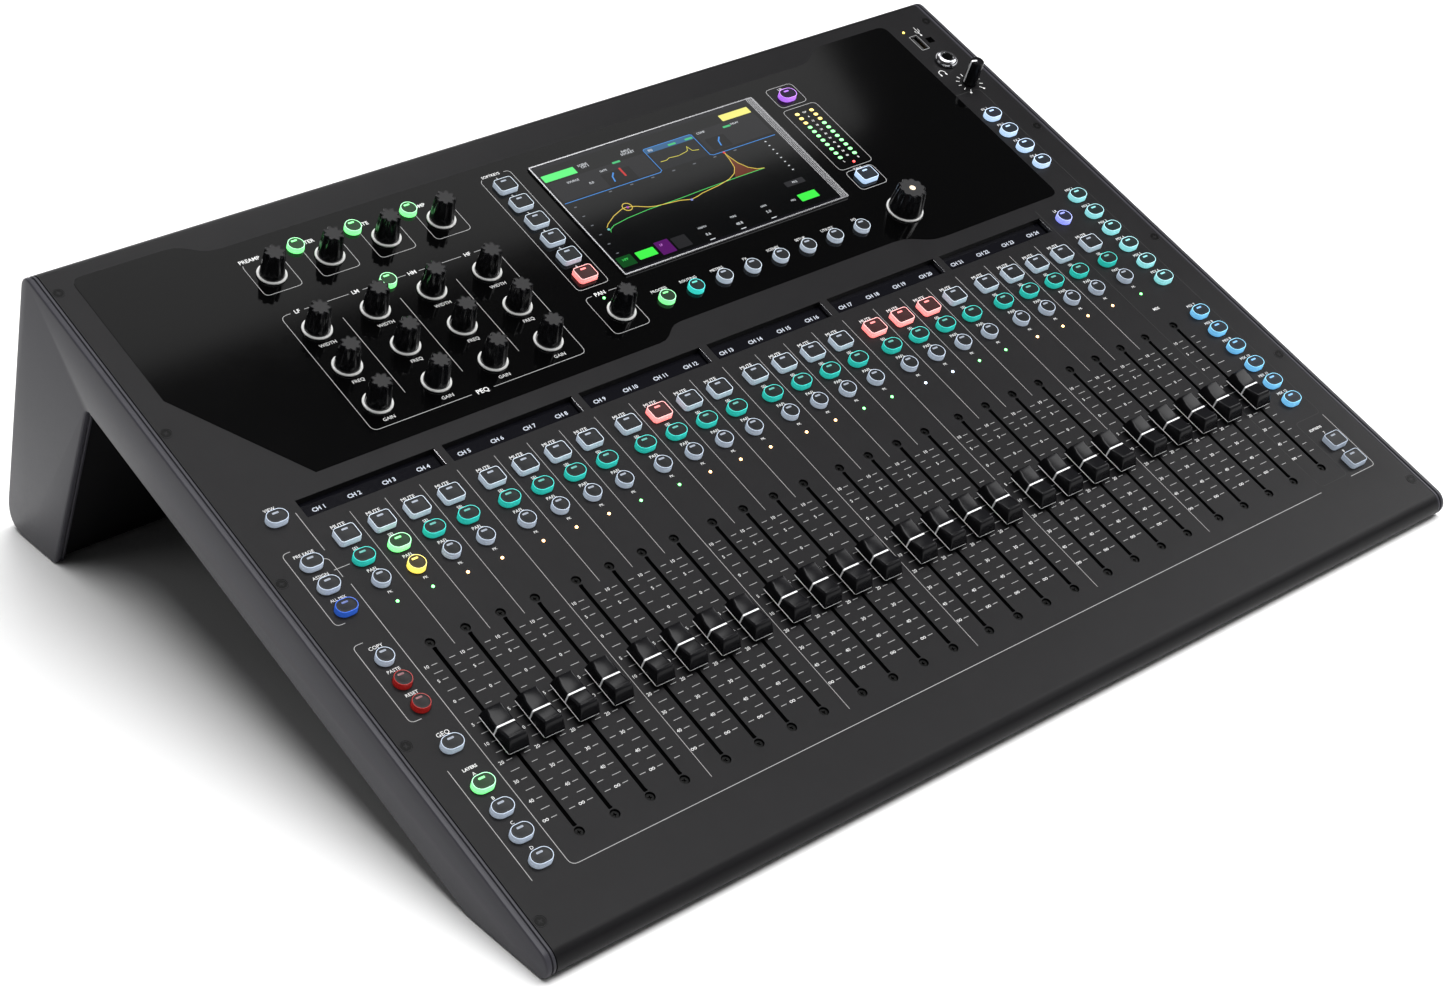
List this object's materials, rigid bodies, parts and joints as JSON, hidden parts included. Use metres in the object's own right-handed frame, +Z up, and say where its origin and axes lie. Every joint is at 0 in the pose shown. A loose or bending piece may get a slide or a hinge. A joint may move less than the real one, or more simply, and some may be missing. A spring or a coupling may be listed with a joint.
{
  "type": "digital mixing console",
  "caption": "Sloping desktop digital mixing console with slide faders, lit keys, rotary encoders, a touch screen and a tall rear foot that holds the sockets.",
  "frame": {"origin": "bottom centre of the console, on the table, midway between the cheeks", "axes": "+X to the right along the deck, +Y from the front roll to the back wall, +Z up; the deck slopes up towards +Y at 20.8 degrees"},
  "size_m": [0.632, 0.511, 0.1824],
  "materials": {
    "deck_paint": "fine-textured dark grey powder coat",
    "cheek_plastic": "satin moulded dark grey",
    "overlay_gloss": "polished black",
    "screen_glass": "polished glass face over a lit display",
    "zinc_steel": "bright zinc plate",
    "circuit_board": "green solder mask",
    "cap_black": "semi-gloss black with white print",
    "knob_black": "gloss black with a white foot ring",
    "key_plastic": "milky light-piping plastic with dark top faces"
  },
  "bodies": {
    "console_body": {"top_panel": "deck_paint", "chassis": "deck_paint", "left_cheek": "cheek_plastic", "right_cheek": "cheek_plastic", "control_overlay": "overlay_gloss", "touch_screen": "screen_glass", "rear_panel": "deck_paint", "control_boards": "circuit_board", "power_supply": "zinc_steel"},
    "mute_keys": {"mute_keys": "key_plastic"},
    "select_keys": {"select_keys": "key_plastic"},
    "listen_keys": {"listen_keys": "key_plastic"},
    "left_keys": {"left_keys": "key_plastic"},
    "right_keys": {"right_keys": "key_plastic"},
    "upper_keys": {"upper_keys": "key_plastic"},
    "power_switch": {"power_switch": "knob_black"},
    "phones_knob": {"phones_knob": "knob_black"},
    "preamp_knob": {"preamp_knob": "knob_black"},
    "filter_knob": {"filter_knob": "knob_black"},
    "gate_knob": {"gate_knob": "knob_black"},
    "comp_knob": {"comp_knob": "knob_black"},
    "eq_low_width_knob": {"eq_low_width_knob": "knob_black"},
    "eq_low_freq_knob": {"eq_low_freq_knob": "knob_black"},
    "eq_low_gain_knob": {"eq_low_gain_knob": "knob_black"},
    "eq_low_mid_width_knob": {"eq_low_mid_width_knob": "knob_black"},
    "eq_low_mid_freq_knob": {"eq_low_mid_freq_knob": "knob_black"},
    "eq_low_mid_gain_knob": {"eq_low_mid_gain_knob": "knob_black"},
    "eq_high_mid_width_knob": {"eq_high_mid_width_knob": "knob_black"},
    "eq_high_mid_freq_knob": {"eq_high_mid_freq_knob": "knob_black"},
    "eq_high_mid_gain_knob": {"eq_high_mid_gain_knob": "knob_black"},
    "eq_high_width_knob": {"eq_high_width_knob": "knob_black"},
    "eq_high_freq_knob": {"eq_high_freq_knob": "knob_black"},
    "eq_high_gain_knob": {"eq_high_gain_knob": "knob_black"},
    "pan_knob": {"pan_knob": "knob_black"},
    "screen_knob": {"screen_knob": "knob_black"},
    "fader_cap_01": {"fader_cap_01": "cap_black"},
    "fader_cap_02": {"fader_cap_02": "cap_black"},
    "fader_cap_03": {"fader_cap_03": "cap_black"},
    "fader_cap_04": {"fader_cap_04": "cap_black"},
    "fader_cap_05": {"fader_cap_05": "cap_black"},
    "fader_cap_06": {"fader_cap_06": "cap_black"},
    "fader_cap_07": {"fader_cap_07": "cap_black"},
    "fader_cap_08": {"fader_cap_08": "cap_black"},
    "fader_cap_09": {"fader_cap_09": "cap_black"},
    "fader_cap_10": {"fader_cap_10": "cap_black"},
    "fader_cap_11": {"fader_cap_11": "cap_black"},
    "fader_cap_12": {"fader_cap_12": "cap_black"},
    "fader_cap_13": {"fader_cap_13": "cap_black"},
    "fader_cap_14": {"fader_cap_14": "cap_black"},
    "fader_cap_15": {"fader_cap_15": "cap_black"},
    "fader_cap_16": {"fader_cap_16": "cap_black"},
    "fader_cap_17": {"fader_cap_17": "cap_black"},
    "fader_cap_18": {"fader_cap_18": "cap_black"},
    "fader_cap_19": {"fader_cap_19": "cap_black"},
    "fader_cap_20": {"fader_cap_20": "cap_black"},
    "fader_cap_21": {"fader_cap_21": "cap_black"},
    "fader_cap_22": {"fader_cap_22": "cap_black"},
    "fader_cap_23": {"fader_cap_23": "cap_black"},
    "fader_cap_24": {"fader_cap_24": "cap_black"},
    "fader_cap_main": {"fader_cap_main": "cap_black"}
  },
  "joints": [
    {"name": "main_fader_slide", "type": "slide", "parent": "console_body", "child": "fader_cap_main", "axis": [0, 0.9348, 0.3551], "range_m": [-0.05, 0.05]},
    {"name": "mute_keys_press", "type": "slide", "parent": "console_body", "child": "mute_keys", "axis": [0, -0.3551, 0.9348], "range_m": [-0.001, 0], "stiffness_N_per_m": 1500, "springref_m": 0.001},
    {"name": "select_keys_press", "type": "slide", "parent": "console_body", "child": "select_keys", "axis": [0, -0.3551, 0.9348], "range_m": [-0.001, 0], "stiffness_N_per_m": 1500, "springref_m": 0.001},
    {"name": "listen_keys_press", "type": "slide", "parent": "console_body", "child": "listen_keys", "axis": [0, -0.3551, 0.9348], "range_m": [-0.001, 0], "stiffness_N_per_m": 1500, "springref_m": 0.001},
    {"name": "left_keys_press", "type": "slide", "parent": "console_body", "child": "left_keys", "axis": [0, -0.3551, 0.9348], "range_m": [-0.001, 0], "stiffness_N_per_m": 1500, "springref_m": 0.001},
    {"name": "right_keys_press", "type": "slide", "parent": "console_body", "child": "right_keys", "axis": [0, -0.3551, 0.9348], "range_m": [-0.001, 0], "stiffness_N_per_m": 1500, "springref_m": 0.001},
    {"name": "upper_keys_press", "type": "slide", "parent": "console_body", "child": "upper_keys", "axis": [0, -0.3551, 0.9348], "range_m": [-0.001, 0], "stiffness_N_per_m": 1500, "springref_m": 0.001},
    {"name": "power_switch_tip", "type": "hinge", "parent": "console_body", "child": "power_switch", "pos_m": [0.226, 0.21896, 0.09569], "axis": [1, 0, 0], "range_deg": [-16, 0]},
    {"name": "phones_level_turn", "type": "hinge", "parent": "console_body", "child": "phones_knob", "pos_m": [0.2922, 0.11552, 0.15482], "axis": [0, -0.3551, 0.9348], "range_deg": [-230, 70]},
    {"name": "screen_turn", "type": "hinge", "parent": "console_body", "child": "screen_knob", "pos_m": [0.1717, 0.04429, 0.12776], "axis": [0, -0.3551, 0.9348], "continuous": true},
    {"name": "preamp_turn", "type": "hinge", "parent": "console_body", "child": "preamp_knob", "pos_m": [-0.1986, 0.14048, 0.1643], "axis": [0, -0.3551, 0.9348], "continuous": true},
    {"name": "filter_turn", "type": "hinge", "parent": "console_body", "child": "filter_knob", "pos_m": [-0.1623, 0.14048, 0.1643], "axis": [0, -0.3551, 0.9348], "continuous": true},
    {"name": "gate_turn", "type": "hinge", "parent": "console_body", "child": "gate_knob", "pos_m": [-0.126, 0.14048, 0.1643], "axis": [0, -0.3551, 0.9348], "continuous": true},
    {"name": "comp_turn", "type": "hinge", "parent": "console_body", "child": "comp_knob", "pos_m": [-0.0897, 0.14048, 0.1643], "axis": [0, -0.3551, 0.9348], "continuous": true},
    {"name": "eq_low_width_turn", "type": "hinge", "parent": "console_body", "child": "eq_low_width_knob", "pos_m": [-0.1986, 0.09823, 0.14825], "axis": [0, -0.3551, 0.9348], "continuous": true},
    {"name": "eq_low_freq_turn", "type": "hinge", "parent": "console_body", "child": "eq_low_freq_knob", "pos_m": [-0.1986, 0.07075, 0.13781], "axis": [0, -0.3551, 0.9348], "continuous": true},
    {"name": "eq_low_gain_turn", "type": "hinge", "parent": "console_body", "child": "eq_low_gain_knob", "pos_m": [-0.1986, 0.04326, 0.12737], "axis": [0, -0.3551, 0.9348], "continuous": true},
    {"name": "eq_low_mid_width_turn", "type": "hinge", "parent": "console_body", "child": "eq_low_mid_width_knob", "pos_m": [-0.1623, 0.09823, 0.14825], "axis": [0, -0.3551, 0.9348], "continuous": true},
    {"name": "eq_low_mid_freq_turn", "type": "hinge", "parent": "console_body", "child": "eq_low_mid_freq_knob", "pos_m": [-0.1623, 0.07075, 0.13781], "axis": [0, -0.3551, 0.9348], "continuous": true},
    {"name": "eq_low_mid_gain_turn", "type": "hinge", "parent": "console_body", "child": "eq_low_mid_gain_knob", "pos_m": [-0.1623, 0.04326, 0.12737], "axis": [0, -0.3551, 0.9348], "continuous": true},
    {"name": "eq_high_mid_width_turn", "type": "hinge", "parent": "console_body", "child": "eq_high_mid_width_knob", "pos_m": [-0.126, 0.09823, 0.14825], "axis": [0, -0.3551, 0.9348], "continuous": true},
    {"name": "eq_high_mid_freq_turn", "type": "hinge", "parent": "console_body", "child": "eq_high_mid_freq_knob", "pos_m": [-0.126, 0.07075, 0.13781], "axis": [0, -0.3551, 0.9348], "continuous": true},
    {"name": "eq_high_mid_gain_turn", "type": "hinge", "parent": "console_body", "child": "eq_high_mid_gain_knob", "pos_m": [-0.126, 0.04326, 0.12737], "axis": [0, -0.3551, 0.9348], "continuous": true},
    {"name": "eq_high_width_turn", "type": "hinge", "parent": "console_body", "child": "eq_high_width_knob", "pos_m": [-0.0897, 0.09823, 0.14825], "axis": [0, -0.3551, 0.9348], "continuous": true},
    {"name": "eq_high_freq_turn", "type": "hinge", "parent": "console_body", "child": "eq_high_freq_knob", "pos_m": [-0.0897, 0.07075, 0.13781], "axis": [0, -0.3551, 0.9348], "continuous": true},
    {"name": "eq_high_gain_turn", "type": "hinge", "parent": "console_body", "child": "eq_high_gain_knob", "pos_m": [-0.0897, 0.04326, 0.12737], "axis": [0, -0.3551, 0.9348], "continuous": true},
    {"name": "pan_turn", "type": "hinge", "parent": "console_body", "child": "pan_knob", "pos_m": [-0.0385, 0.04522, 0.12811], "axis": [0, -0.3551, 0.9348], "continuous": true},
    {"name": "fader_01_slide", "type": "slide", "parent": "console_body", "child": "fader_cap_01", "axis": [0, 0.9348, 0.3551], "range_m": [-0.05, 0.05]},
    {"name": "fader_02_slide", "type": "slide", "parent": "console_body", "child": "fader_cap_02", "axis": [0, 0.9348, 0.3551], "range_m": [-0.05, 0.05]},
    {"name": "fader_03_slide", "type": "slide", "parent": "console_body", "child": "fader_cap_03", "axis": [0, 0.9348, 0.3551], "range_m": [-0.05, 0.05]},
    {"name": "fader_04_slide", "type": "slide", "parent": "console_body", "child": "fader_cap_04", "axis": [0, 0.9348, 0.3551], "range_m": [-0.05, 0.05]},
    {"name": "fader_05_slide", "type": "slide", "parent": "console_body", "child": "fader_cap_05", "axis": [0, 0.9348, 0.3551], "range_m": [-0.05, 0.05]},
    {"name": "fader_06_slide", "type": "slide", "parent": "console_body", "child": "fader_cap_06", "axis": [0, 0.9348, 0.3551], "range_m": [-0.05, 0.05]},
    {"name": "fader_07_slide", "type": "slide", "parent": "console_body", "child": "fader_cap_07", "axis": [0, 0.9348, 0.3551], "range_m": [-0.05, 0.05]},
    {"name": "fader_08_slide", "type": "slide", "parent": "console_body", "child": "fader_cap_08", "axis": [0, 0.9348, 0.3551], "range_m": [-0.05, 0.05]},
    {"name": "fader_09_slide", "type": "slide", "parent": "console_body", "child": "fader_cap_09", "axis": [0, 0.9348, 0.3551], "range_m": [-0.05, 0.05]},
    {"name": "fader_10_slide", "type": "slide", "parent": "console_body", "child": "fader_cap_10", "axis": [0, 0.9348, 0.3551], "range_m": [-0.05, 0.05]},
    {"name": "fader_11_slide", "type": "slide", "parent": "console_body", "child": "fader_cap_11", "axis": [0, 0.9348, 0.3551], "range_m": [-0.05, 0.05]},
    {"name": "fader_12_slide", "type": "slide", "parent": "console_body", "child": "fader_cap_12", "axis": [0, 0.9348, 0.3551], "range_m": [-0.05, 0.05]},
    {"name": "fader_13_slide", "type": "slide", "parent": "console_body", "child": "fader_cap_13", "axis": [0, 0.9348, 0.3551], "range_m": [-0.05, 0.05]},
    {"name": "fader_14_slide", "type": "slide", "parent": "console_body", "child": "fader_cap_14", "axis": [0, 0.9348, 0.3551], "range_m": [-0.05, 0.05]},
    {"name": "fader_15_slide", "type": "slide", "parent": "console_body", "child": "fader_cap_15", "axis": [0, 0.9348, 0.3551], "range_m": [-0.05, 0.05]},
    {"name": "fader_16_slide", "type": "slide", "parent": "console_body", "child": "fader_cap_16", "axis": [0, 0.9348, 0.3551], "range_m": [-0.05, 0.05]},
    {"name": "fader_17_slide", "type": "slide", "parent": "console_body", "child": "fader_cap_17", "axis": [0, 0.9348, 0.3551], "range_m": [-0.05, 0.05]},
    {"name": "fader_18_slide", "type": "slide", "parent": "console_body", "child": "fader_cap_18", "axis": [0, 0.9348, 0.3551], "range_m": [-0.05, 0.05]},
    {"name": "fader_19_slide", "type": "slide", "parent": "console_body", "child": "fader_cap_19", "axis": [0, 0.9348, 0.3551], "range_m": [-0.05, 0.05]},
    {"name": "fader_20_slide", "type": "slide", "parent": "console_body", "child": "fader_cap_20", "axis": [0, 0.9348, 0.3551], "range_m": [-0.05, 0.05]},
    {"name": "fader_21_slide", "type": "slide", "parent": "console_body", "child": "fader_cap_21", "axis": [0, 0.9348, 0.3551], "range_m": [-0.05, 0.05]},
    {"name": "fader_22_slide", "type": "slide", "parent": "console_body", "child": "fader_cap_22", "axis": [0, 0.9348, 0.3551], "range_m": [-0.05, 0.05]},
    {"name": "fader_23_slide", "type": "slide", "parent": "console_body", "child": "fader_cap_23", "axis": [0, 0.9348, 0.3551], "range_m": [-0.05, 0.05]},
    {"name": "fader_24_slide", "type": "slide", "parent": "console_body", "child": "fader_cap_24", "axis": [0, 0.9348, 0.3551], "range_m": [-0.05, 0.05]}
  ]
}
